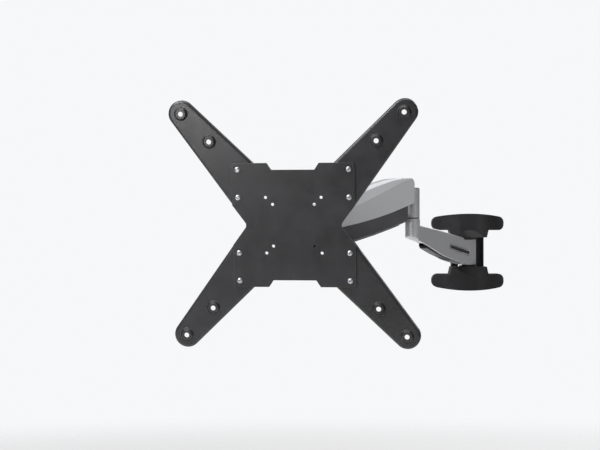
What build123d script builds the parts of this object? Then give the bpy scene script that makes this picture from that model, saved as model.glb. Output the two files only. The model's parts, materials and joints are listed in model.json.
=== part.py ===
from build123d import *
import math
import os

# Full motion wall mount for a television, in millimetres.
# Row frame: +Z up, the wall is the plane y = 0 and everything stands at y < 0 in front of it, +X to the
# right for someone facing the wall.  The origin is the centre of the wall plate's back face.
# The arms are folded as they hang in use: the wall arm reaches out to the left, the spring arm runs on
# to the left and drops towards the screen, and the screen plate leans forward at its top.

# ---------------------------------------------------------------- driving dimensions
PIVOT_Y = -42.0          # wall pivot axis in front of the wall
WALL_ARM = 240.0         # wall pivot to elbow axis
LINK = 186.0             # length of both parallelogram links
REAR_OFF = 24.0          # elbow axis to rear link pins
FRONT_OFF = 30.0         # front link pins to swivel axis
PIN_RISE = 36.0          # upper link pin above lower link pin
REAR_UP_Z = 118.0        # height of the rear upper pin
TILT_OFF = 40.0          # swivel axis to tilt axis
PLATE_OFF = 31.0         # tilt axis to the front face of the screen plate
TILT_Z = 57.1            # height of the tilt axis

ANG_WALL_ARM = -121.14   # plan angle of the wall arm
ANG_TV_ARM = -155.43     # plan angle of the spring arm
ANG_FACE = -99.0         # plan angle the screen plate faces
DROP = 17.0              # how far the spring arm hangs below level
TILT = 7.6               # how far the screen plate leans forward

PLATE_W, PLATE_H, PLATE_T = 221.4, 223.0, 2.5
SHEET = 2.5              # sheet thickness of the cross arms
ARM_TIP_R = 23.5
FLANGE = 11.5            # depth of the cross arms
BOSS_TOP = 3.0           # boss face in front of the plate's front face
VESA_R = 2.75            # hole radius of the small patterns
BOSS_HOLE_R = 4.5        # hole radius of the large patterns
SCREW_R = 3.0

SHELL_HALF = 22.0        # half width of the spring arm
SKIN = 3.0
WALL_HALF = 13.75        # half width of the wall arm
RUN = 0.05               # running clearance of pins in bushes, on radius

PARTS = {}


def rad(a):
    return math.radians(a)


def unit(a):
    return (math.cos(rad(a)), math.sin(rad(a)))


D1, D2, M = unit(ANG_WALL_ARM), unit(ANG_TV_ARM), unit(ANG_FACE)
W = (0.0, PIVOT_Y)
E = (W[0] + WALL_ARM * D1[0], W[1] + WALL_ARM * D1[1])
REACH2 = REAR_OFF + LINK * math.cos(rad(DROP)) + FRONT_OFF
H = (E[0] + REACH2 * D2[0], E[1] + REACH2 * D2[1])
T = (H[0] + TILT_OFF * M[0], H[1] + TILT_OFF * M[1])

# local frames: x along the arm, y towards the open side, z up
F_WALL = Location((W[0], W[1], 0), (0, 0, ANG_WALL_ARM))
F_TV = Location((E[0], E[1], 0), (0, 0, ANG_TV_ARM))
# swivel frame: x to the right along the screen, y into the wall, z up, origin on the swivel axis
F_YOKE = Location((H[0], H[1], 0), (0, 0, ANG_FACE + 90))
# tilt frame: the same, tipped forward about x, origin on the tilt axis; the screen side is -y
F_TILT = Location((T[0], T[1], TILT_Z), (0, 0, ANG_FACE + 90)) * Location((0, 0, 0), (TILT, 0, 0))

UP1 = (REAR_OFF, REAR_UP_Z)
UP2 = (REAR_OFF, REAR_UP_Z - PIN_RISE)
FR1 = (UP1[0] + LINK * math.cos(rad(DROP)), UP1[1] - LINK * math.sin(rad(DROP)))
FR2 = (FR1[0], FR1[1] - PIN_RISE)
ANCHOR = (29.0, 99.0)
AL = (math.cos(rad(DROP)), -math.sin(rad(DROP)))
UPV = (math.sin(rad(DROP)), math.cos(rad(DROP)))
SPRING_EYE = (UP1[0] + 150 * AL[0] - 2 * UPV[0], UP1[1] + 150 * AL[1] - 2 * UPV[1])


# ---------------------------------------------------------------- helpers
def box(x0, x1, y0, y1, z0, z1):
    return Pos((x0 + x1) / 2, (y0 + y1) / 2, (z0 + z1) / 2) * Box(x1 - x0, y1 - y0, z1 - z0)


def cyl_z(r, z0, z1, x=0.0, y=0.0):
    return Pos(x, y, (z0 + z1) / 2) * Cylinder(r, z1 - z0)


def cyl_y(r, y0, y1, x=0.0, z=0.0):
    return Pos(x, (y0 + y1) / 2, z) * Rot(90, 0, 0) * Cylinder(r, y1 - y0)


def cyl_x(r, x0, x1, y=0.0, z=0.0):
    return Pos((x0 + x1) / 2, y, z) * Rot(0, 90, 0) * Cylinder(r, x1 - x0)


def prism_xz(points, y0, y1):
    """Closed polygon of (x, z) points, extruded from y0 to y1."""
    face = Face(Wire.make_polygon([Vector(x, y0, z) for x, z in points], close=True))
    return Solid.extrude(face, Vector(0, y1 - y0, 0))


def prism_xy(points, z0, z1):
    face = Face(Wire.make_polygon([Vector(x, y, z0) for x, y in points], close=True))
    return Solid.extrude(face, Vector(0, 0, z1 - z0))


def edge_face_xz(edges, y0, y1):
    return Solid.extrude(Face(Wire(edges)), Vector(0, y1 - y0, 0))


def hexagon(af, z0, z1):
    return Pos(0, 0, (z0 + z1) / 2) * extrude(RegularPolygon(af / 2 / math.cos(math.pi / 6), 6), (z1 - z0) / 2, both=True)


def solid_of(shape):
    s = shape.solids()
    return s[0] if len(s) == 1 else Compound(children=list(s))


def try_fillet(shape, edges, radii):
    for r in radii:
        try:
            out = fillet(edges, r)
            if out.is_valid and out.volume > 0:
                return out
        except Exception:
            pass
    return shape


def put(name, shape, frame=None):
    if frame is not None:
        shape = frame * shape
    PARTS[name] = shape


def section_yz(s, pts):
    return Face(Wire.make_polygon([Vector(s, y, z) for y, z in pts], close=True))


def lofted(sections):
    return Solid.make_loft([f.outer_wire() for f in sections], True)


def interp(table, s):
    if s <= table[0][0]:
        a, b = table[0], table[1]
    elif s >= table[-1][0]:
        a, b = table[-2], table[-1]
    else:
        for a, b in zip(table, table[1:]):
            if a[0] <= s <= b[0]:
                break
    return a[1] + (b[1] - a[1]) * (s - a[0]) / (b[0] - a[0])


# ---------------------------------------------------------------- wall unit
COVER_HALF, COVER_TOP, COVER_DEEP = 71.5, 76.0, 66.0
COVER_LOW = 43.5           # underside of the cover's wings
ARCH_R = 344.5             # radius of the long top edge
BOW_R = 81.86              # plan radius of the face
CORNER_R = 12.0


def cover_profile(off):
    """Front outline of the upper cover, moved in by off."""
    r, R = CORNER_R - off, ARCH_R - off
    cx, cz = COVER_HALF - CORNER_R, COVER_TOP - ARCH_R
    uz = cz + math.sqrt((ARCH_R - CORNER_R) ** 2 - cx ** 2)
    lz = COVER_LOW + CORNER_R
    a = math.atan2(uz - cz, cx)

    def pt(x, z):
        return (x, 0, z)

    def side(sx):
        up = (cx + r * math.cos(a), uz + r * math.sin(a))
        mid = (cx + r * math.cos(a / 2), uz + r * math.sin(a / 2))
        right_hi, right_lo = (cx + r, uz), (cx + r, lz)
        lowmid = (cx + r * math.cos(rad(-45)), lz + r * math.sin(rad(-45)))
        low = (cx, lz - r)
        foot = (38.2 - off * .87, lz - r)
        toe = (34.8 - off * .87, 29.0 + off)
        f = lambda q: pt(sx * q[0], q[1])
        return [ThreePointArc(f(up), f(mid), f(right_hi)), Line(f(right_hi), f(right_lo)),
                ThreePointArc(f(right_lo), f(lowmid), f(low)), Line(f(low), f(foot)), Line(f(foot), f(toe))], up, toe

    er, up, toe = side(1)
    el, _, _ = side(-1)
    top = ThreePointArc(pt(-up[0], up[1]), pt(0, COVER_TOP - off), pt(up[0], up[1]))
    bottom = Line(pt(toe[0], toe[1]), pt(-toe[0], toe[1]))
    return Face(Wire([top] + er + [bottom] + list(reversed(el))))


def cover_block(off, back):
    a = Solid.extrude(cover_profile(off), Vector(0, -80, 0))
    if back:
        a = a + Solid.extrude(cover_profile(off), Vector(0, back, 0))
    bow = cyl_z(BOW_R - off, 0, 90, 0, BOW_R - COVER_DEEP) + box(-90, 90, -24, back + 1, 0, 90)
    s = solid_of(a & bow)
    # the step towards the arm slopes back from the face
    f = -(COVER_DEEP - off)
    cut = Solid.extrude(Face(Wire.make_polygon([Vector(-90, f - 20, 43.6 + off * .4), Vector(-90, f, 43.6 + off * .4),
                                                Vector(-90, f + 8, 20), Vector(-90, f - 20, 20)], close=True)), Vector(180, 0, 0))
    return solid_of(s - cut)


outer = cover_block(0, 0)
front_edges = [e for e in outer.edges() if e.center().Y < -24.5 and e.length > 20 and e.center().Z > 36]
outer = solid_of(try_fillet(outer, front_edges, (3.0, 2.0, 1.2)))
inner = cover_block(2.4, 2)
upper_cover = solid_of(outer - inner)
# openings in the lip that faces the arm, for the pivot ear and the wall channel
ear_cut = box(-17.0, 17.0, -42, 3, 25, 33) + cyl_z(17.0, 25, 33, 0, PIVOT_Y) + box(-33.0, 33.0, -16.5, 3, 25, 47)
upper_cover = solid_of(upper_cover - ear_cut)
put("upper_wall_cover", upper_cover)
put("lower_wall_cover", solid_of(mirror(upper_cover, Plane.XY)))

# wall plate: a pressed channel with a wide head and foot behind the covers
web = box(-32.5, 32.5, -3, 0, -50, 50)
head = solid_of(Solid.extrude(cover_profile(3.6), Vector(0, -3, 0)) & box(-90, 90, -5, 1, 46.8, 90))
foot = solid_of(mirror(head, Plane.XY))
plate = web + head + foot
for sx in (-1, 1):
    plate += box(min(sx * 29.5, sx * 32.5), max(sx * 29.5, sx * 32.5), -16, -1, -46, 46)
plate -= box(-17.5, 17.5, -10, 5, -40, 40)
for sx in (-1, 1):
    for sz in (-1, 1):
        plate -= cyl_y(4.5, -6, 2, sx * 50, sz * 57)
for sz in (-1, 1):
    plate -= cyl_y(4.5, -6, 2, 0, sz * 64.5)
    for sx in (-1, 1):
        plate -= cyl_y(3.5, -6, 2, sx * 9, sz * 50)
plate = solid_of(plate)
inner_bends = [e for e in plate.edges() if e.geom_type == GeomType.LINE and abs(abs(e.center().X) - 29.5) < .1
               and abs(e.center().Y + 3) < .1 and e.length > 60]
plate = solid_of(try_fillet(plate, inner_bends, (4.0, 3.0, 2.0)))
put("wall_plate", plate)


def ear():
    e = box(-16, 16, PIVOT_Y, -3, 27, 31) + cyl_z(16, 27, 31, 0, PIVOT_Y) + box(-16, 16, -7, -3, 27, 58)
    e = solid_of(e)
    bend = [x for x in e.edges() if x.length > 30 and abs(x.center().Y + 7) < .1 and abs(x.center().Z - 31) < .1]
    e = solid_of(try_fillet(e, bend, (3.0, 2.0)))
    e -= cyl_z(7.0, 20, 40, 0, PIVOT_Y)
    for sx in (-1, 1):
        e -= cyl_y(3.5, -10, 0, sx * 9, 50)
    return solid_of(e)


put("upper_pivot_ear", ear())
put("lower_pivot_ear", solid_of(mirror(ear(), Plane.XY)))
rivets = []
for sz in (-1, 1):
    for sx in (-1, 1):
        r = cyl_y(3.5, -7, 0, sx * 9, sz * 50) + cyl_y(5.6, -9.2, -7, sx * 9, sz * 50)
        rivets.append(solid_of(r))
put("ear_rivets", Compound(children=rivets))
pin = cyl_z(7.0, -41, 31) + cyl_z(11.0, 31, 36)
pin = solid_of(pin - hexagon(7, 32.5, 40))
put("wall_pivot_pin", Pos(0, PIVOT_Y, 0) * pin)
put("wall_pivot_nut", Pos(0, PIVOT_Y, 0) * solid_of(hexagon(20, -38.5, -31) - cyl_z(7.0, -45, -30)))
put("wall_pivot_washers", Compound(children=[Pos(0, PIVOT_Y, 0) * solid_of(cyl_z(14.0, a, b) - cyl_z(7.0, -30, 30))
                                             for a, b in ((24.75, 27.0), (-27.0, -24.75))]))

# ---------------------------------------------------------------- wall arm
TOP_PTS = [(52, 29.6), (81, 33.4), (124, 40.3), (180, 47.4), (240, 54)]
BOT_PTS = [(240, 24.6), (202, 14.6), (156, .6), (102, -12.4), (58.6, -19.6), (20, -24.5)]


arm_bot = Spline([(s, 0, z) for s, z in BOT_PTS], tangents=[(-1, 0, -.25), (-1, 0, -.1)])


def bottom_z(s):
    lo, hi = 0.0, 1.0
    for _ in range(40):
        m = (lo + hi) / 2
        if (arm_bot @ m).X > s:
            lo = m
        else:
            hi = m
    return (arm_bot @ lo).Z


def arm_profile(dz_top=0.0, dz_bot=0.0, s0=0.0):
    top = [(s, 0, z + dz_top) for s, z in TOP_PTS]
    bot = [(s, 0, z + dz_bot) for s, z in BOT_PTS]
    e = [Line((0, 0, 24.5 + dz_top), (46.5, 0, 24.5 + dz_top)), Line((46.5, 0, 24.5 + dz_top), top[0]),
         Spline(top, tangents=[(1, 0, .13), (1, 0, .11)]), Line(top[-1], bot[0]),
         Spline(bot, tangents=[(-1, 0, -.25), (-1, 0, -.1)]),
         Line(bot[-1], (0, 0, -24.5 + dz_bot)), Line((0, 0, -24.5 + dz_bot), (0, 0, 24.5 + dz_top))]
    return Face(Wire(e))


body = Pos(0, -WALL_HALF, 0) * Solid.extrude(arm_profile(), Vector(0, 2 * WALL_HALF, 0))
body = solid_of(body)
long_edges = [e for e in body.edges() if abs(abs(e.center().Y) - WALL_HALF) < .01 and e.length > 120 and e.center().Z > 20]
body = solid_of(try_fillet(body, long_edges, (3.0, 2.0, 1.0)))
elbow_barrel = cyl_z(13.75, 10, 65.3, WALL_ARM)
slant = prism_xz([(200, -20), (270, -20), (270, 39.6), (240, 24.6), (215, 18.2), (200, 14)], -20, 20)
far_slope = Plane(origin=(WALL_ARM, 0, 24.6), z_dir=(-.2, .33, 1)).location * Pos(0, 0, -40) * Box(90, 120, 80)
elbow_barrel = solid_of(elbow_barrel - slant - far_slope)
rim = [e for e in elbow_barrel.edges() if e.center().Z < 42 and e.geom_type != GeomType.LINE and e.length > 12]
elbow_barrel = solid_of(try_fillet(elbow_barrel, rim, (3.5, 2.5, 1.5)))
toprim = [e for e in elbow_barrel.edges() if abs(e.center().Z - 65.3) < .01]
elbow_barrel = solid_of(try_fillet(elbow_barrel, toprim, (0.8,)))
wall_barrel = cyl_z(14.7, -24.5, 24.5)
casting = body + elbow_barrel + wall_barrel
# cable channel under the arm
channel = Pos(0, -10.5, 0) * Solid.extrude(arm_profile(-4.0, -8.0), Vector(0, 21.0, 0))
channel = solid_of(channel & box(24, 220, -12, 12, -60, 80))
casting -= channel
# the hidden side wall stops short, so the cables can be laid in and leave beside the elbow
casting -= prism_xz([(100, -60)] + [(s, bottom_z(s) + up) for s, up in ((100, -.5), (120, 2.2), (140, 4.4), (170, 7.5), (205, 8.0), (226, 7.0))] + [(226, -60)], -20, -8)
casting -= (far_slope & box(203, 280, -30, 30, -60, 60))
casting -= cyl_z(9.5, -30, 30)
casting -= cyl_z(8.0, 36, 70, WALL_ARM)
casting = solid_of(casting)
put("wall_arm_casting", casting, F_WALL)

COV = [(97, -14.6), (128, -8.4), (161, -.8), (193, 8.4), (196.5, 9.6)]
COV_S = [97, 112, 128, 145, 161, 178, 193, 196.5]


def cover_band(low, high, half, s0=0.0, s1=0.0, stations=None):
    st = stations or COV_S
    st = [st[0] + s0] + list(st[1:-1]) + [st[-1] + s1]
    return prism_xz([(q, low(q)) for q in st] + [(q, high(q)) for q in reversed(st)], -half, half)


skirt = cover_band(lambda q: interp(COV, q), lambda q: bottom_z(q) + .6, 8.0)
long_low = [e for e in skirt.edges() if abs(abs(e.center().Y) - 8.0) < .01 and e.center().Z < bottom_z(max(97, min(196, e.center().X))) - .2 and e.length > 8]
skirt = solid_of(try_fillet(skirt, long_low, (2.5, 1.5, .8)))
shoulder = cover_band(lambda q: bottom_z(q) + .4, lambda q: bottom_z(q) + 8.0, 10.4, 4.0, -2.0)
cc = solid_of(skirt + shoulder)
cc -= cover_band(lambda q: interp(COV, q) + 2.0, lambda q: bottom_z(q) + 3.0, 6.0, 5.0, -3.0)
cc -= cover_band(lambda q: bottom_z(q) + 2.4, lambda q: bottom_z(q) + 20.0, 8.5, 2.0, 2.0)
cc = solid_of(cc)
put("wall_arm_cable_cover", cc, F_WALL)

badge = prism_xz([(26, -7.2), (110, 7.6), (110, 17.4), (26, 3.6)], WALL_HALF, WALL_HALF + 1.0)
badge = solid_of(badge)
vert = [e for e in badge.edges() if abs(e.length - 1.0) < .01]
badge = solid_of(try_fillet(badge, vert, (1.5, 1.0)))
put("name_badge", badge, F_WALL)
put("wall_pivot_bushes", Compound(children=[solid_of(cyl_z(9.5, a, b) - cyl_z(7.0 + RUN, -30, 30))
                                            for a, b in ((10.5, 24.5), (-24.5, -10.5))]), F_WALL)
put("elbow_pin", solid_of(cyl_z(8.0, 36, 117, WALL_ARM) - Pos(WALL_ARM, 0, 0) * hexagon(6, 112, 120)), F_WALL)

# ---------------------------------------------------------------- elbow block (turns about the elbow axis)
barrel = cyl_z(13.2, 67.4, 122)
tongue = prism_xz([(2, 74), (24, 72.5), (33, 78), (38, 92), (38, 104), (33, 122), (24, 127.5), (16, 125), (13.2, 120), (2, 118)], -9, 9)
knuckle = solid_of(barrel + tongue)
crown = [e for e in knuckle.edges() if abs(e.center().Z - 122) < .2 and e.length > 20]
knuckle -= box(17.5, 60, -4.7, 4.7, 60, 140)
knuckle -= cyl_z(10.5, 60, 119)
knuckle -= cyl_z(10.5, 119.2, 130)
knuckle -= cyl_y(5.0 + RUN, -20, 20, *UP1)
knuckle -= cyl_y(5.0, -20, 20, *UP2)
knuckle -= cyl_y(4.0, -20, 20, *ANCHOR)
knuckle = solid_of(knuckle)
put("elbow_knuckle", knuckle, F_TV)
put("elbow_bushes", Compound(children=[solid_of(cyl_z(10.5, a, b) - cyl_z(8.0 + RUN, 60, 130))
                                       for a, b in ((67.4, 82), (101, 116))]), F_TV)
put("elbow_washer", solid_of(cyl_z(12.6, 65.45, 67.4) - cyl_z(8.3, 60, 70)), F_TV)
cap = solid_of(cyl_z(10.5, 119.4, 122) + cyl_z(12.4, 122, 123.2))
put("elbow_cap", solid_of(try_fillet(cap, [e for e in cap.edges() if abs(e.center().Z - 123.2) < .01], (.8,))), F_TV)
put("rear_lower_pin", solid_of(chamfer((cyl_y(5.0, -14.5, 14.5, *UP2)).edges().filter_by(GeomType.CIRCLE), .6)), F_TV)
put("spring_anchor_pin", solid_of(chamfer((cyl_y(4.0, -9, 9, *ANCHOR)).edges().filter_by(GeomType.CIRCLE), .5)), F_TV)

# ---------------------------------------------------------------- spring arm shell and its lower cover
Z_TOP = [(7.4, 133.2), (8.0, 136.6), (9.6, 139.0), (11.8, 140.5), (14.5, 141), (38, 140.8), (50, 139.9), (71.5, 134.6), (101, 124.9), (125, 117.2), (155, 107.5), (190, 95.8), (207, 89.5), (214, 84)]
Z_UP = [(7.4, 132.2), (8.0, 135.6), (9.6, 138.1), (11.8, 139.7), (14.5, 140.3), (33.8, 139.0), (57.7, 133.4), (81.5, 125.2), (103.8, 116.5), (125, 108.3), (155, 97), (190, 84), (214, 74)]
Z_CH = [(7.4, 130.6), (8.0, 134.0), (9.6, 136.5), (11.8, 138.1), (14.5, 138.7), (32.4, 133.6), (53.7, 123.1), (77.5, 111.3), (122, 91), (155, 76), (190, 60), (214, 49.5)]
Z_BD = [(7, 94.5), (21.5, 89.3), (53.7, 76.8), (89.2, 65.7), (124.4, 56.7), (155.8, 49.9), (190, 43.2), (214, 38.6)]
Z_LO = [(7, 64.5), (25, 57.3), (53.7, 46.8), (89.2, 34.8), (130, 22.7), (155, 16.2), (190, 8.2), (214, 3.4)]
STATIONS = [7.4, 8.0, 9.6, 11.8, 14.5, 21.5, 34, 53.7, 72, 89.2, 104, 124.4, 155.8, 190, 207, 214]


def shell_section(s, inset, drop=0.0, at=None):
    zt, zu, zc, zb = (interp(t, s) for t in (Z_TOP, Z_UP, Z_CH, Z_BD))
    tu = SHELL_HALF - .33 * (zu - zc) - .3
    tt = max(tu - .62 * (zt - zu) - .5, 4.5)
    i = inset
    z0 = zb - drop
    pts = [(-(SHELL_HALF - i), z0), (-(SHELL_HALF - i), zc - i * .6), (-(tu - i * .95), zu - i * .95), (-(tt - i * .4), zt - i),
           (tt - i * .4, zt - i), (tu - i * .95, zu - i * .95), (SHELL_HALF - i, zc - i * .6), (SHELL_HALF - i, z0)]
    return section_yz(s if at is None else at, pts)


outer = lofted([shell_section(s, 0) for s in STATIONS])
hollow = lofted([shell_section(8.0, SKIN, 4, 0)] + [shell_section(s, SKIN, 4) for s in STATIONS[2:-1]] + [shell_section(214, SKIN, 4, 222)])
shell = solid_of(outer - hollow)
# bosses that carry the three cross pins
for (s, z), r, pr in ((UP1, 8.0, 5.0), (FR1, 7.5, 5.0), (SPRING_EYE, 6.5, 4.0)):
    boss = solid_of((cyl_y(r, -SHELL_HALF, -13.2, s, z) + cyl_y(r, 13.2, SHELL_HALF, s, z)) & outer)
    for b in (boss.solids() if hasattr(boss, "solids") else [boss]):
        shell = shell + b
    shell = shell - cyl_y(pr, -16.6, 16.6, s, z)
shell = solid_of(shell)
put("spring_arm_shell", shell, F_TV)

C_ST = [21.5, 34, 53.7, 72, 89.2, 104, 124.4, 155.8, 190, 207]


def cover_section(s, inset, lift, at=None):
    zb, zl = interp(Z_BD, s), interp(Z_LO, s)
    h, i = SHELL_HALF, inset
    return section_yz(s if at is None else at, [(-(h - i), zb + lift), (-(h - i), zl + 4.5 + i * .5), (-(h - 4.0 - i * .6), zl + i), (h - 4.0 - i * .6, zl + i),
                                                (h - i, zl + 4.5 + i * .5), (h - i, zb + lift)])


c_out = lofted([cover_section(s, 0, 0) for s in C_ST])
c_in = lofted([cover_section(21.5, 2.6, 12, 10)] + [cover_section(s, 2.6, 12) for s in C_ST[1:-1]] + [cover_section(207, 2.6, 12, 215)])
lower = solid_of(c_out - c_in)
# open ends under the cover, where it swings past the pivots and the cables come out
lower = solid_of(lower - box(0, 38, -19.4, 19.4, 30, 75) - box(176, 240, -19.4, 19.4, -20, 40))
# the front corner is cut back
lower = solid_of(lower - prism_xz([(200, 60), (212, 60), (212, -20), (185, -20), (185, 0), (191, 10)], -30, 30))
put("spring_arm_lower_cover", lower, F_TV)
for name, (s, z), r in (("rear_upper_pin", UP1, 5.0), ("front_upper_pin", FR1, 5.0), ("spring_front_pin", SPRING_EYE, 4.0)):
    put(name, solid_of(cyl_y(r, -16.5, 16.5, s, z)), F_TV)

# ---------------------------------------------------------------- lower link
q = Location((UP2[0], 0, UP2[1]), (0, DROP, 0))       # x along the link
bar = Pos(LINK / 2, 0, 0) * (Box(LINK, 25.0, 16) + Pos(-LINK / 2, 0, 0) * Rot(90, 0, 0) * Cylinder(8, 25.0)
                             + Pos(LINK / 2, 0, 0) * Rot(90, 0, 0) * Cylinder(8, 25.0))
bar -= box(-20, LINK + 20, -9.4, 9.4, -5.0, 20)
bar -= box(-20, 42, -9.4, 9.4, -20, 20)
bar -= box(LINK - 42, LINK + 20, -9.4, 9.4, -20, 20)
bar -= cyl_y(5.0 + RUN, -20, 20, 0, 0)
bar -= cyl_y(5.35, -20, 20, LINK, 0)
put("lower_link", F_TV * q * solid_of(bar))

# ---------------------------------------------------------------- gas spring
DX, DZ = ANCHOR[0] - SPRING_EYE[0], ANCHOR[1] - SPRING_EYE[1]
SPRING_LEN = math.hypot(DX, DZ)
g = Location((SPRING_EYE[0], 0, SPRING_EYE[1]), (0, -math.degrees(math.atan2(DZ, DX)), 0))   # x from the front eye to the rear eye
CYL_END = 92.0
cylinder = cyl_x(8.5, 14, CYL_END) + cyl_x(4.5, 4, 16) + cyl_y(7.0, -5, 5)
cylinder = solid_of(cylinder)
cylinder = solid_of(try_fillet(cylinder, [e for e in cylinder.edges() if e.geom_type == GeomType.CIRCLE and abs(e.center().X - CYL_END) < .1], (1.5, 1.0)))
cylinder -= cyl_y(4.0 + RUN, -10, 10)
cylinder -= cyl_x(4.0 + RUN, 20, CYL_END + 2)
put("gas_spring_cylinder", F_TV * g * solid_of(cylinder))
rod = cyl_x(4.0, 60, SPRING_LEN - 5) + cyl_y(8.0, -4, 4, SPRING_LEN, 0)
rod -= cyl_y(5.7, -10, 10, SPRING_LEN, 0)
put("gas_spring_rod", F_TV * g * solid_of(rod))

# ---------------------------------------------------------------- head block (stays upright)
hb = cyl_z(13.5, 14, 60, REACH2)
ht = prism_xz([(FR1[0] - 8, 24), (FR1[0] - 2, 18.5), (FR1[0] + 12, 18.5), (REACH2 - 3, 20), (REACH2 - 3, 58), (FR1[0] + 13, 59),
               (FR1[0] + 7, 71), (FR1[0], 73), (FR1[0] - 8, 68)], -9, 9)
hk = solid_of(hb + ht)
hk -= cyl_z(8.5, 0, 80, REACH2)
hk -= cyl_y(5.0 + RUN, -20, 20, *FR1)
hk -= cyl_y(5.0, -20, 20, *FR2)
put("head_knuckle", solid_of(hk), F_TV)
put("front_lower_pin", solid_of(cyl_y(5.0, -14.5, 14.5, *FR2)), F_TV)
put("swivel_bushes", Compound(children=[solid_of(cyl_z(8.5, a, b, REACH2) - cyl_z(6.0 + RUN, 0, 80, REACH2))
                                        for a, b in ((14, 28), (46, 60))]), F_TV)

# ---------------------------------------------------------------- swivel yoke
YF = TILT_OFF - 16.0      # back of the yoke's front plate, from the swivel axis


def yoke_ear(z0, z1):
    return cyl_z(14, z0, z1) + box(-14, 14, -YF - 1, 0, z0, z1)


yoke = yoke_ear(61.6, 65.6) + yoke_ear(8.4, 12.4) + box(-32, 32, -YF - 4, -YF, 8.4, 76)
for sx in (-1, 1):
    x0, x1 = sorted((sx * 28, sx * 32))
    yoke += box(x0, x1, -TILT_OFF, -YF - 2, TILT_Z - 11, TILT_Z + 11) + cyl_x(11, x0, x1, -TILT_OFF, TILT_Z)
yoke -= cyl_z(6.0, 0, 80)
yoke -= cyl_x(4.0, -50, 50, -TILT_OFF, TILT_Z)
yoke -= box(-18, 18, -YF - 10, -YF + 4, 24, 50)
put("swivel_yoke", F_YOKE * solid_of(yoke))
sp = cyl_z(6.0, 2, 65.6) + cyl_z(9.5, 65.6, 70.6)
sp -= hexagon(6, 67.4, 75)
put("swivel_pin", F_YOKE * solid_of(sp))
put("swivel_nut", F_YOKE * solid_of(hexagon(18, 2.4, 8.4) - cyl_z(6.0, 0, 10)))
put("swivel_washers", Compound(children=[F_YOKE * solid_of(cyl_z(13, a, b) - cyl_z(6.0, 0, 80)) for a, b in ((12.4, 13.85), (60.15, 61.6))]))
tb = cyl_x(4.0, -43, 37.4, -TILT_OFF, TILT_Z)
hexh = Pos(0, -TILT_OFF, TILT_Z) * Rot(0, 90, 0) * hexagon(13, 37.4, 42.6)
put("tilt_bolt", F_YOKE * solid_of(tb + hexh))
nut = Pos(0, -TILT_OFF, TILT_Z) * Rot(0, 90, 0) * hexagon(13, -43.0, -37.4)
put("tilt_nut", F_YOKE * solid_of(nut - cyl_x(4.0, -50, 0, -TILT_OFF, TILT_Z)))
put("tilt_washers", Compound(children=[F_YOKE * solid_of(cyl_x(10, *sorted((sx * 32, sx * 33.4)), -TILT_OFF, TILT_Z) - cyl_x(4.0, -50, 50, -TILT_OFF, TILT_Z))
                                       for sx in (-1, 1)]))

# ---------------------------------------------------------------- tilt bracket (tilt frame, origin on the tilt axis)
BACK = PLATE_OFF - PLATE_T
tk = box(-50, 50, -26, -22, -32, 32)
for sx in (-1, 1):
    x0, x1 = sorted((sx * 33.6, sx * 37.2))
    tk += box(x0, x1, -24, 0, -11, 11) + cyl_x(11, x0, x1)
    tk += box(x0, x1, -24, -18, -28, 28)
tk -= cyl_x(4.0 + RUN, -50, 50)
tk -= cyl_y(5.0 + RUN, -30, -20)
tk = solid_of(tk)
corners = [e for e in tk.edges() if e.geom_type == GeomType.LINE and abs(e.length - 4) < .01 and abs(abs(e.center().X) - 50) < .1]
tk = solid_of(try_fillet(tk, corners, (8.0, 5.0)))
put("tilt_bracket", F_TILT * tk)
put("roll_washer", F_TILT * solid_of(cyl_y(24, -BACK + .05, -26) - cyl_y(5.0 + RUN, -30, -20)))

# ---------------------------------------------------------------- screen plate, cross arms and their fasteners
PF = -PLATE_OFF            # y of the plate's front face in the tilt frame


def plate_outline():
    w, h = PLATE_W / 2, PLATE_H / 2
    q = [(w, h), (46.8, h), (38.7, h - 12.2)]
    right = [(w, h), (w, 36), (86.3, 3), (86.3, -3), (w, -36), (w, -h), (46.8, -h), (38.7, -h + 12.2)]
    left = [(-x, z) for x, z in reversed(right)]
    return right + left + [(-38.7, h - 12.2), (38.7, h - 12.2), (46.8, h)]


out = [(110.7, 111.5), (110.7, 36), (86.3, 3), (86.3, -3), (110.7, -36), (110.7, -111.5), (46.8, -111.5), (38.7, -99.3),
       (-38.7, -99.3), (-46.8, -111.5), (-110.7, -111.5), (-110.7, -36), (-86.3, -3), (-86.3, 3), (-110.7, 36), (-110.7, 111.5),
       (-46.8, 111.5), (-38.7, 99.3), (38.7, 99.3), (46.8, 111.5)]
vp = prism_xz(out, PF, PF + PLATE_T)
vp = solid_of(vp)


def near(e, pts, tol=.5):
    c = e.center()
    return any(abs(c.X - x) < tol and abs(c.Z - z) < tol for x, z in pts)


posts = [e for e in vp.edges() if abs(e.length - PLATE_T) < .01]
vp = solid_of(try_fillet(vp, [e for e in posts if near(e, [(sx * 110.7, sz * 111.5) for sx in (-1, 1) for sz in (-1, 1)])], (6.0,)))
posts = [e for e in vp.edges() if abs(e.length - PLATE_T) < .01]
vp = solid_of(try_fillet(vp, [e for e in posts if near(e, [(sx * 86.3, sz * 3) for sx in (-1, 1) for sz in (-1, 1)])], (5.0, 3.0)))
posts = [e for e in vp.edges() if abs(e.length - PLATE_T) < .01]
vp = solid_of(try_fillet(vp, [e for e in posts if near(e, [(sx * a, sz * b) for a, b in ((46.8, 111.5), (38.7, 99.3), (110.7, 36)) for sx in (-1, 1) for sz in (-1, 1)])], (2.0, 1.0)))
SCREWS = [(sx * 100, sz * b) for sx in (-1, 1) for sz in (-1, 1) for b in (100, 50)]
for x, z in SCREWS:
    vp -= cyl_y(SCREW_R + .2, PF - 1, PF + 5, x, z)
for a in (50, 37.5):
    for sx in (-1, 1):
        for sz in (-1, 1):
            vp -= cyl_y(VESA_R, PF - 1, PF + 5, sx * a, sz * a)
vp = solid_of(vp)
put("vesa_plate", F_TILT * vp)
stud = cyl_y(5.0, -BACK, -13.5)
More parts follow.
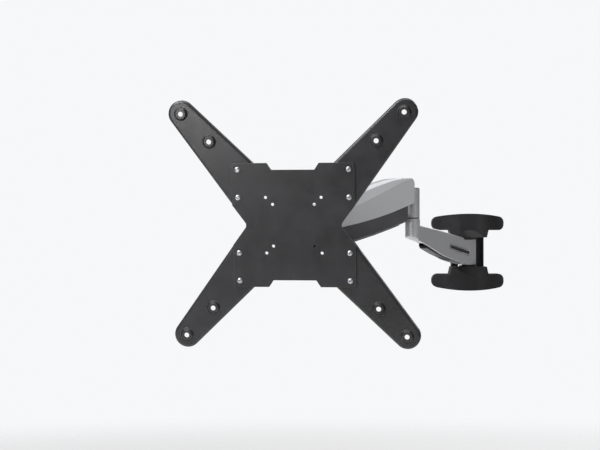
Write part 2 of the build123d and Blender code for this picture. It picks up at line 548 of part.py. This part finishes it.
put("roll_stud", F_TILT * solid_of(stud))
put("roll_nut", F_TILT * solid_of(Rot(90, 0, 0) * hexagon(15, 15.5, 21.8) - cyl_y(5.0, -40, 0)))

TIP = 200.0


def arm_outline(r, grow_root):
    """Two tangents to the tip circle, closed across the root behind the plate."""
    c = (TIP, TIP)
    p1 = (111.3 - 9, 36.6 - 12.25)       # root corner on the outer side
    p2 = (73.4 - 13, 111.5 - 12.2)       # root corner on the upper side
    d = ARM_TIP_R - r

    def shift(a, b, k):
        dx, dz = b[0] - a[0], b[1] - a[1]
        n = math.hypot(dx, dz)
        return (a[0] - dz / n * k, a[1] + dx / n * k)

    def tangent(p, rr, side):
        dx, dz = c[0] - p[0], c[1] - p[1]
        L = math.hypot(dx, dz)
        a = math.atan2(dz, dx) + side * math.asin(rr / L)
        k = math.sqrt(L * L - rr * rr)
        return (p[0] + k * math.cos(a), p[1] + k * math.sin(a)), (math.cos(a), math.sin(a))

    t1, u1 = tangent(p1, ARM_TIP_R, -1)
    t2, u2 = tangent(p2, ARM_TIP_R, 1)
    n1, n2 = (u1[1], -u1[0]), (-u2[1], u2[0])
    a1 = (p1[0] - n1[0] * d - u1[0] * grow_root, p1[1] - n1[1] * d - u1[1] * grow_root)
    b1 = (t1[0] - n1[0] * d, t1[1] - n1[1] * d)
    a2 = (p2[0] - n2[0] * d - u2[0] * grow_root, p2[1] - n2[1] * d - u2[1] * grow_root)
    b2 = (t2[0] - n2[0] * d, t2[1] - n2[1] * d)
    tip = (c[0] + r * math.cos(math.pi / 4), c[1] + r * math.sin(math.pi / 4))
    e = [Line((a1[0], 0, a1[1]), (b1[0], 0, b1[1])),
         ThreePointArc((b1[0], 0, b1[1]), (tip[0], 0, tip[1]), (b2[0], 0, b2[1])),
         Line((b2[0], 0, b2[1]), (a2[0], 0, a2[1])),
         Line((a2[0], 0, a2[1]), (a1[0], 0, a1[1]))]
    return Face(Wire(e))


FLOOR = PF + PLATE_T       # front face of a cross arm's sheet


def cross_arm():
    o = solid_of(Pos(0, FLOOR, 0) * Solid.extrude(arm_outline(ARM_TIP_R, 0), Vector(0, FLANGE, 0)))
    rimedges = [e for e in o.edges() if abs(e.center().Y - FLOOR) < .01 and (e.center().X > 125 or e.center().Z > 125)]
    o = solid_of(try_fillet(o, rimedges, (4.6, 3.6, 2.5)))
    i = solid_of(Pos(0, FLOOR + SHEET, 0) * Solid.extrude(arm_outline(ARM_TIP_R - SHEET, 14), Vector(0, FLANGE + 5, 0)))
    bend = [e for e in i.edges() if abs(e.center().Y - FLOOR - SHEET) < .01 and (e.center().X > 125 or e.center().Z > 125)]
    i = solid_of(try_fillet(i, bend, (2.4, 1.6, 1.0)))
    o = o - i
    for c in (150.0, 200.0):
        prof = Face(Wire.make_polygon([Vector(0, 0, 0), Vector(12.5, 0, 0), Vector(8.6, FLOOR - (PF - BOSS_TOP), 0), Vector(0, FLOOR - (PF - BOSS_TOP), 0)], close=True))
        cone = Solid.revolve(prof, 360, Axis.Y)
        o = o + Location((c, FLOOR, c)) * Rot(180, 0, 0) * cone
        prof = Face(Wire.make_polygon([Vector(0, -6, 0), Vector(10.4, -6, 0), Vector(10.4, 2.0 - SHEET, 0), Vector(6.4, FLOOR - (PF - BOSS_TOP) - SHEET, 0),
                                       Vector(0, FLOOR - (PF - BOSS_TOP) - SHEET, 0)], close=True))
        o = o - Location((c, FLOOR, c)) * Rot(180, 0, 0) * Solid.revolve(prof, 360, Axis.Y)
        o = o - cyl_y(BOSS_HOLE_R, PF - 10, PF + 20, c, c)
    o = solid_of(o)
    lips = [e for e in o.edges() if e.geom_type == GeomType.CIRCLE and abs(e.center().Y - (PF - BOSS_TOP)) < .05]
    o = solid_of(try_fillet(o, [e for e in lips if e.radius > 7], (1.2, .8)))
    for x, z in SCREWS:
        if x > 0 and z > 0:
            o = o - cyl_y(SCREW_R + .2, PF - 1, PF + 10, x, z)
    return solid_of(o)


ca = cross_arm()
put("arm_top_right", F_TILT * ca)
put("arm_top_left", F_TILT * solid_of(mirror(ca, Plane.YZ)))
put("arm_bottom_right", F_TILT * solid_of(mirror(ca, Plane.XY)))
put("arm_bottom_left", F_TILT * solid_of(mirror(mirror(ca, Plane.XY), Plane.YZ)))

screws, nuts = [], []
for x, z in SCREWS:
    dome = Solid.revolve(Face(Wire([Line((0, 0, 0), (5.2, 0, 0)), Line((5.2, 0, 0), (5.2, .7, 0)),
                                    ThreePointArc((5.2, .7, 0), (3.9, 2.3, 0), (1.5, 2.8, 0)), Line((1.5, 2.8, 0), (0, 2.8, 0)),
                                    Line((0, 2.8, 0), (0, 0, 0))])), 360, Axis.Y)
    s = Location((x, PF, z)) * Rot(180, 0, 0) * dome + cyl_y(SCREW_R, PF, PF + 13, x, z)
    s = s - Location((x, PF, z)) * Rot(90, 0, 0) * hexagon(4, 1.1, 5)
    screws.append(F_TILT * solid_of(s))
    n = Location((x, 0, z)) * Rot(90, 0, 0) * hexagon(10, -(FLOOR + SHEET) - 5, -(FLOOR + SHEET))
    nuts.append(F_TILT * solid_of(n - cyl_y(SCREW_R, PF - 5, PF + 20, x, z)))
put("arm_screws", Compound(children=screws))
put("arm_nuts", Compound(children=nuts))

os.makedirs("parts", exist_ok=True)
for f in os.listdir("parts"):
    if f.endswith(".step") and f[:-5] not in PARTS:
        os.remove(os.path.join("parts", f))
for name, shape in PARTS.items():
    solids = list(shape.solids())
    item = solids[0] if len(solids) == 1 else Compound(children=solids)
    item.label = name
    export_step(item, f"parts/{name}.step")
    print(f"{name:26s} solids {len(solids)} volume {sum(s.volume for s in solids):10.0f} valid {all(s.is_valid for s in solids)}")
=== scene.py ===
import json
import math
import bpy
import bmesh
from mathutils import Vector, Matrix


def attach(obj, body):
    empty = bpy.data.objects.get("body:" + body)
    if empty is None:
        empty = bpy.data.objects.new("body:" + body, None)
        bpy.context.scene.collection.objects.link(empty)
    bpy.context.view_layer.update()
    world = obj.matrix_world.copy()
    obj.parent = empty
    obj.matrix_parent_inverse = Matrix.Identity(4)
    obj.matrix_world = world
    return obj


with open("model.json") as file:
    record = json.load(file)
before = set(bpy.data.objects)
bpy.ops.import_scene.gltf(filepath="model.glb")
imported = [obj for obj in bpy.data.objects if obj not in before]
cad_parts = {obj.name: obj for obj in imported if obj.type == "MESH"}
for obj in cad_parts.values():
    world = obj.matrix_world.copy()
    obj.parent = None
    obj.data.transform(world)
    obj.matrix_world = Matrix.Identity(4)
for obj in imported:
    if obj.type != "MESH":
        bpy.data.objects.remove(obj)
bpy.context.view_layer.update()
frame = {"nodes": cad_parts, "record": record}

scene = bpy.context.scene
NODES = frame["nodes"]
BODY_OF = {n: b for b, ns in frame["record"]["behaviour"]["bodies"].items() for n in ns}

# ------------------------------------------------------------------ camera
cam_data = bpy.data.cameras.new("camera")
cam = bpy.data.objects.new("camera", cam_data)
scene.collection.objects.link(cam)
cam_data.sensor_width = 36.0
cam_data.lens = 108.0
cam_data.clip_start, cam_data.clip_end = 0.05, 60.0
cam.location = (-0.33486, -3.6169, 0.0536)
cam.rotation_euler = (math.radians(90), 0, 0)
scene.camera = cam


# ------------------------------------------------------------------ materials
def node_material(name):
    m = bpy.data.materials.new(name)
    m.use_nodes = True
    nt = m.node_tree
    b = nt.nodes["Principled BSDF"]
    return m, nt, b


def coords(nt):
    t = nt.nodes.new("ShaderNodeTexCoord")
    return t.outputs["Object"]


def noise(nt, vec, scale, detail=2.0, rough=0.5, stretch=None):
    if stretch:
        mp = nt.nodes.new("ShaderNodeMapping")
        mp.inputs["Scale"].default_value = stretch
        nt.links.new(vec, mp.inputs["Vector"])
        vec = mp.outputs["Vector"]
    n = nt.nodes.new("ShaderNodeTexNoise")
    n.inputs["Scale"].default_value = scale
    n.inputs["Detail"].default_value = detail
    n.inputs["Roughness"].default_value = rough
    nt.links.new(vec, n.inputs["Vector"])
    return n.outputs["Fac"]


def ramp(nt, fac, stops):
    r = nt.nodes.new("ShaderNodeValToRGB")
    el = r.color_ramp.elements
    while len(el) < len(stops):
        el.new(0.5)
    for e, (p, c) in zip(el, stops):
        e.position = p
        e.color = (*c, 1) if len(c) == 3 else c
    nt.links.new(fac, r.inputs["Fac"])
    return r.outputs["Color"]


def span(nt, fac, lo, hi, a=0.3, b=0.7):
    m = nt.nodes.new("ShaderNodeMapRange")
    m.inputs["From Min"].default_value = a
    m.inputs["From Max"].default_value = b
    m.inputs["To Min"].default_value = lo
    m.inputs["To Max"].default_value = hi
    nt.links.new(fac, m.inputs["Value"])
    return m.outputs["Result"]


def soft_edge(nt, radius):
    e = nt.nodes.new("ShaderNodeBevel")
    e.samples = 6
    e.inputs["Radius"].default_value = radius
    return e.outputs["Normal"]


def bump(nt, height, strength, distance, normal=None):
    b = nt.nodes.new("ShaderNodeBump")
    b.inputs["Strength"].default_value = strength
    b.inputs["Distance"].default_value = distance
    nt.links.new(height, b.inputs["Height"])
    if normal is not None:
        nt.links.new(normal, b.inputs["Normal"])
    return b.outputs["Normal"]


def painted_edge_highlight(nt, vec, radius, amount):
    """Painted edge highlight: how far the rounded-edge normal leans from the true one, lighter colour on edges,
    broken up by noise.
    """
    geo = nt.nodes.new("ShaderNodeNewGeometry")
    dot = nt.nodes.new("ShaderNodeVectorMath")
    dot.operation = "DOT_PRODUCT"
    nt.links.new(soft_edge(nt, radius), dot.inputs[0])
    nt.links.new(geo.outputs["True Normal"], dot.inputs[1])
    lean = span(nt, dot.outputs["Value"], 1.0, 0.0, 0.80, 0.985)
    keep = span(nt, noise(nt, vec, 160, 3), 0.45 * amount, amount)
    mul = nt.nodes.new("ShaderNodeMath")
    mul.operation = "MULTIPLY"
    nt.links.new(lean, mul.inputs[0])
    nt.links.new(keep, mul.inputs[1])
    return mul.outputs[0]


def mix_color(nt, fac, a, b):
    m = nt.nodes.new("ShaderNodeMix")
    m.data_type = "RGBA"
    if isinstance(fac, (int, float)):
        m.inputs["Factor"].default_value = fac
    else:
        nt.links.new(fac, m.inputs["Factor"])
    for sock, v in ((m.inputs[6], a), (m.inputs[7], b)):
        if isinstance(v, tuple):
            sock.default_value = (*v, 1)
        else:
            nt.links.new(v, sock)
    return m.outputs[2]


def powder_coat(name, dark=(0.009, 0.009, 0.010), light=(0.017, 0.017, 0.019), rough=(0.30, 0.38)):
    """Semi-gloss black powder coat: orange peel, a fine stipple and slow variation in gloss."""
    m, nt, b = node_material(name)
    v = coords(nt)
    big = noise(nt, v, 18, 3)
    fine = noise(nt, v, 1700, 2)
    peel = noise(nt, v, 520, 2)
    body = mix_color(nt, span(nt, big, 0, 1), dark, light)
    # the lighter grey (0.16) mixed in along the edges is a painted edge highlight
    nt.links.new(mix_color(nt, painted_edge_highlight(nt, v, 0.0009, 0.8), body, (0.16, 0.16, 0.165)), b.inputs["Base Color"])
    nt.links.new(span(nt, noise(nt, v, 42, 4), rough[0], rough[1]), b.inputs["Roughness"])
    n1 = bump(nt, peel, 0.16, 0.00025, soft_edge(nt, 0.0007))
    n2 = bump(nt, fine, 0.12, 0.00008, n1)
    nt.links.new(n2, b.inputs["Normal"])
    b.inputs["Specular IOR Level"].default_value = 0.5
    return m


def silver_paint(name):
    """Satin silver paint over an aluminium casting: metal flake, orange peel, faint casting waviness."""
    m, nt, b = node_material(name)
    v = coords(nt)
    flake = noise(nt, v, 3800, 1)
    slow = noise(nt, v, 14, 3)
    base = mix_color(nt, span(nt, flake, 0, 1, .25, .75), (0.40, 0.405, 0.42), (0.54, 0.545, 0.56))
    tint = mix_color(nt, span(nt, slow, 0, 0.25), base, (0.44, 0.44, 0.45))
    nt.links.new(tint, b.inputs["Base Color"])
    b.inputs["Metallic"].default_value = 0.45
    nt.links.new(span(nt, noise(nt, v, 60, 4), 0.34, 0.44), b.inputs["Roughness"])
    n1 = bump(nt, noise(nt, v, 420, 2), 0.10, 0.0002, soft_edge(nt, 0.0006))
    nt.links.new(bump(nt, noise(nt, v, 26, 2), 0.05, 0.002, n1), b.inputs["Normal"])
    b.inputs["Coat Weight"].default_value = 0.25
    b.inputs["Coat Roughness"].default_value = 0.22
    return m


def plastic(name, dark, light, rough=(0.38, 0.5), grain=0.22, scale=2300):
    """Moulded plastic with a fine spark-erosion grain."""
    m, nt, b = node_material(name)
    v = coords(nt)
    body = mix_color(nt, span(nt, noise(nt, v, 25, 3), 0, 1), dark, light)
    # the lighter grey (0.10) mixed in along the edges is a painted edge highlight
    nt.links.new(mix_color(nt, painted_edge_highlight(nt, v, 0.0008, 0.5), body, (0.10, 0.10, 0.105)), b.inputs["Base Color"])
    nt.links.new(span(nt, noise(nt, v, 90, 3), rough[0], rough[1]), b.inputs["Roughness"])
    n1 = bump(nt, noise(nt, v, scale, 3, .6), grain, 0.00009, soft_edge(nt, 0.0006))
    nt.links.new(bump(nt, noise(nt, v, 30, 2), 0.04, 0.0015, n1), b.inputs["Normal"])
    b.inputs["Specular IOR Level"].default_value = 0.45
    return m


def zinc(name, base=((0.60, 0.61, 0.63), (0.78, 0.785, 0.80)), rough=(0.24, 0.38)):
    """Bright zinc plate with faint spangle."""
    m, nt, b = node_material(name)
    v = coords(nt)
    vor = nt.nodes.new("ShaderNodeTexVoronoi")
    vor.inputs["Scale"].default_value = 420
    nt.links.new(v, vor.inputs["Vector"])
    fac = span(nt, vor.outputs["Distance"], 0, 1, 0, .9)
    nt.links.new(mix_color(nt, fac, base[1], base[0]), b.inputs["Base Color"])
    b.inputs["Metallic"].default_value = 1.0
    nt.links.new(span(nt, noise(nt, v, 300, 3), rough[0], rough[1]), b.inputs["Roughness"])
    nt.links.new(bump(nt, noise(nt, v, 1400, 2), 0.10, 0.00006, soft_edge(nt, 0.0004)), b.inputs["Normal"])
    return m


def chrome(name):
    m, nt, b = node_material(name)
    v = coords(nt)
    nt.links.new(mix_color(nt, span(nt, noise(nt, v, 60, 2), 0, 1), (0.74, 0.75, 0.77), (0.82, 0.83, 0.85)), b.inputs["Base Color"])
    b.inputs["Metallic"].default_value = 1.0
    nt.links.new(span(nt, noise(nt, v, 500, 3), 0.06, 0.12), b.inputs["Roughness"])
    nt.links.new(bump(nt, noise(nt, v, 2500, 2), 0.03, 0.00003), b.inputs["Normal"])
    return m


M = {
    "black_steel": powder_coat("black_powder_coat"),
    "silver_aluminium": silver_paint("silver_paint"),
    "black_plastic": plastic("black_plastic", (0.010, 0.010, 0.011), (0.016, 0.016, 0.018), (0.30, 0.38)),
    # a lighter copy of the black plastic: painted light, standing in for how the lower cover is lit
    "black_plastic_lit_copy": plastic("black_plastic_painted_lit", (0.045, 0.045, 0.050), (0.062, 0.062, 0.067), (0.42, 0.54)),
    "nylon": plastic("nylon", (0.014, 0.014, 0.015), (0.022, 0.022, 0.024), (0.4, 0.55), .12, 900),
    "zinc_steel": zinc("zinc_plate", ((0.34, 0.345, 0.36), (0.50, 0.505, 0.52)), (0.3, 0.42)),
    "bright_rod": chrome("hard_chrome"),
    "badge": plastic("badge_plate", (0.008, 0.008, 0.009), (0.014, 0.014, 0.015), (0.18, 0.26), .08),
}
SLOT_OF = {s["node"]: s["material_slot"] for s in frame["record"]["subparts"]}
for name, obj in NODES.items():
    key = SLOT_OF[name]
    # the lower cover is the same black plastic; it gets the lighter copy as painted light
    if name == "spring_arm_lower_cover":
        key = "black_plastic_lit_copy"
    obj.data.materials.clear()
    obj.data.materials.append(M[key])

# ------------------------------------------------------------------ badge border
# a thin raised bead round the blank badge, taken from the badge's own front face
src = NODES["name_badge"]
bm = bmesh.new()
bm.from_mesh(src.data)
bm.faces.ensure_lookup_table()
areas = {}
for f in bm.faces:
    key = tuple(round(c, 2) for c in (src.matrix_world.to_3x3() @ f.normal))
    areas[key] = areas.get(key, 0) + f.calc_area()
front_key = max((k for k in areas if k[1] < 0), key=lambda k: areas[k])
front_n = Vector(front_key).normalized()
drop = [f for f in bm.faces if (src.matrix_world.to_3x3() @ f.normal).normalized().dot(front_n) < 0.995]
bmesh.ops.delete(bm, geom=drop, context="FACES")
bmesh.ops.remove_doubles(bm, verts=bm.verts[:], dist=1e-6)
loop = [e for e in bm.edges if len(e.link_faces) == 1]
start = loop[0]
pts, v, e = [], start.verts[0], start
while True:
    pts.append(v.co.copy())
    v = e.other_vert(v)
    nxt = [q for q in v.link_edges if len(q.link_faces) == 1 and q is not e]
    e = nxt[0]
    if e is start:
        break
bm.free()
centre = sum(pts, Vector()) / len(pts)
n_loc = (src.matrix_world.to_3x3().inverted() @ front_n).normalized()


# the long axis of the badge, so both sides are drawn in by the same amount
edges_by_len = sorted(((pts[i - 1] - pts[i]).length, i) for i in range(len(pts)))
li = edges_by_len[-1][1]
u = (pts[li] - pts[li - 1]).normalized()
w = n_loc.cross(u)
hu = max(abs((p - centre).dot(u)) for p in pts)
hw = max(abs((p - centre).dot(w)) for p in pts)


def inset(p, d, lift):
    a, b = (p - centre).dot(u), (p - centre).dot(w)
    return centre + u * a * (hu - d) / hu + w * b * (hw - d) / hw + n_loc * lift


rings = [(0.0004, -0.00005), (0.0006, 0.00022), (0.00125, 0.0003), (0.0019, 0.00022), (0.0021, -0.00005)]
bm = bmesh.new()
rows = [[bm.verts.new(inset(p, d, h)) for p in pts] for d, h in rings]
for i in range(len(rows)):
    a, b = rows[i], rows[(i + 1) % len(rows)]
    for j in range(len(pts)):
        bm.faces.new((a[j - 1], a[j], b[j], b[j - 1]))
bmesh.ops.recalc_face_normals(bm, faces=bm.faces[:])
border_mesh = bpy.data.meshes.new("badge_border")
bm.to_mesh(border_mesh)
bm.free()
for f in border_mesh.polygons:
    f.use_smooth = True
border = bpy.data.objects.new("badge_border", border_mesh)
scene.collection.objects.link(border)
border.matrix_world = src.matrix_world.copy()
border_mesh.materials.append(zinc("badge_border_metal", ((0.50, 0.50, 0.51), (0.62, 0.62, 0.63)), (0.28, 0.36)))
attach(border, "wall_arm")

# ------------------------------------------------------------------ stage
floor_mesh = bpy.data.meshes.new("floor")
bm = bmesh.new()
bmesh.ops.create_circle(bm, cap_ends=True, segments=96, radius=7.0)
bm.to_mesh(floor_mesh)
bm.free()
floor = bpy.data.objects.new("floor", floor_mesh)
floor.location = (-0.25, -0.2, -0.62)
scene.collection.objects.link(floor)
fm = bpy.data.materials.new("floor_paint")
fm.use_nodes = True
nt = fm.node_tree
out = nt.nodes["Material Output"]
pb = nt.nodes["Principled BSDF"]
pb.inputs["Base Color"].default_value = (0.93, 0.93, 0.935, 1)
pb.inputs["Roughness"].default_value = 0.75
tr = nt.nodes.new("ShaderNodeBsdfTransparent")
mixs = nt.nodes.new("ShaderNodeMixShader")
grad = nt.nodes.new("ShaderNodeTexGradient")
grad.gradient_type = "SPHERICAL"
mp = nt.nodes.new("ShaderNodeMapping")
mp.inputs["Scale"].default_value = (1 / 3.0, 1 / 3.0, 1)
tc = nt.nodes.new("ShaderNodeTexCoord")
nt.links.new(tc.outputs["Object"], mp.inputs["Vector"])
nt.links.new(mp.outputs["Vector"], grad.inputs["Vector"])
fade = nt.nodes.new("ShaderNodeMapRange")
fade.interpolation_type = "SMOOTHSTEP"
fade.inputs["From Min"].default_value = 0.0
fade.inputs["From Max"].default_value = 0.55
nt.links.new(grad.outputs["Fac"], fade.inputs["Value"])
nt.links.new(fade.outputs["Result"], mixs.inputs["Fac"])
nt.links.new(tr.outputs["BSDF"], mixs.inputs[1])
nt.links.new(pb.outputs["BSDF"], mixs.inputs[2])
nt.links.new(mixs.outputs["Shader"], out.inputs["Surface"])
floor_mesh.materials.append(fm)

world = bpy.data.worlds.new("studio")
world.use_nodes = True
wn = world.node_tree
bg = wn.nodes["Background"]
bg.inputs["Color"].default_value = (0.93, 0.935, 0.945, 1)
bg.inputs["Strength"].default_value = 1.0
dim = wn.nodes.new("ShaderNodeBackground")
dim.inputs["Strength"].default_value = 0.36
tcw = wn.nodes.new("ShaderNodeTexCoord")
sep = wn.nodes.new("ShaderNodeSeparateXYZ")
wn.links.new(tcw.outputs["Generated"], sep.inputs["Vector"])
wr = wn.nodes.new("ShaderNodeValToRGB")
wr.color_ramp.elements[0].position = 0.0
wr.color_ramp.elements[0].color = (0.16, 0.16, 0.17, 1)
wr.color_ramp.elements[1].position = 1.0
wr.color_ramp.elements[1].color = (1, 1, 1, 1)
wmr = wn.nodes.new("ShaderNodeMapRange")
wmr.inputs["From Min"].default_value = -1
wmr.inputs["From Max"].default_value = 1
wn.links.new(sep.outputs["Z"], wmr.inputs["Value"])
wn.links.new(wmr.outputs["Result"], wr.inputs["Fac"])
wn.links.new(wr.outputs["Color"], dim.inputs["Color"])
lp = wn.nodes.new("ShaderNodeLightPath")
ms = wn.nodes.new("ShaderNodeMixShader")
wn.links.new(lp.outputs["Is Camera Ray"], ms.inputs["Fac"])
wn.links.new(dim.outputs["Background"], ms.inputs[1])
wn.links.new(bg.outputs["Background"], ms.inputs[2])
wn.links.new(ms.outputs["Shader"], wn.nodes["World Output"].inputs["Surface"])
scene.world = world


def area(name, loc, aim, size, power, size_y=None, color=(1, 1, 1)):
    l = bpy.data.lights.new(name, "AREA")
    l.shape = "RECTANGLE"
    l.size = size
    l.size_y = size_y or size
    l.energy = power
    l.color = color
    o = bpy.data.objects.new(name, l)
    o.location = loc
    o.rotation_euler = (Vector(aim) - Vector(loc)).to_track_quat("-Z", "Y").to_euler()
    o.visible_camera = False
    scene.collection.objects.link(o)
    return o


area("key_softbox", (-1.35, -1.25, 1.15), (-0.5, -0.25, 0.12), 0.9, 34, 0.7)
area("floor_softbox", (-0.6, -0.6, 2.9), (-0.4, -0.6, -0.6), 2.6, 58, 2.6)
area("fill_softbox", (1.9, -2.4, 0.6), (-0.2, -0.25, 0.0), 1.4, 4, 1.4)
area("left_softbox", (-1.02, -1.5, 0.16), (-0.57, -0.33, 0.25), 0.36, 4.2, 0.34)
area("top_softbox", (-0.2, 0.1, 2.2), (-0.2, -0.2, 0.0), 1.6, 6, 1.0)
area("rim_softbox", (1.2, 1.9, 1.2), (-0.2, -0.2, 0.05), 1.2, 14, 1.2)

scene.view_settings.view_transform = "Standard"
